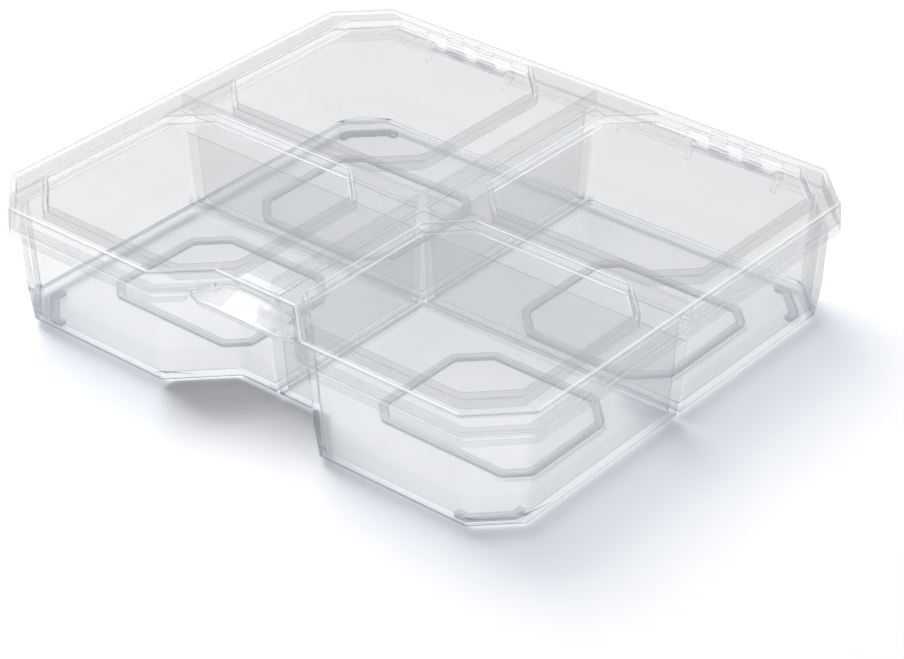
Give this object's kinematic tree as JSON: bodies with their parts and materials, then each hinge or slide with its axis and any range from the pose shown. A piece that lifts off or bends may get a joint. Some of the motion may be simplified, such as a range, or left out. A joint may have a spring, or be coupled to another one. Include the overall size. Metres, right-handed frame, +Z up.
{
  "type": "compartment storage box",
  "caption": "Clear plastic storage box with fixed dividers, a hinged lid with sunken stacking panels, bar-and-knuckle hinges and a thumb lip at a finger recess",
  "frame": {"origin": "middle of the footprint, on the table under the foot ribs", "axes": "+Z up out of the lid, -Y towards the thumb lip at the front, +Y towards the hinges, +X to the right seen from the front"},
  "size_m": [0.1706, 0.1484, 0.0354],
  "materials": {
    "clear_tray": "clear injection-moulded polystyrene, glossy",
    "clear_lid": "clear injection-moulded polystyrene, glossy"
  },
  "bodies": {
    "tray": {"base_tray": "clear_tray"},
    "lid": {"lid": "clear_lid"}
  },
  "joints": [
    {"name": "lid_hinge", "type": "hinge", "parent": "tray", "child": "lid", "pos_m": [0, 0.07243, 0.0274], "axis": [-1, 0, 0], "range_deg": [0, 180]}
  ]
}
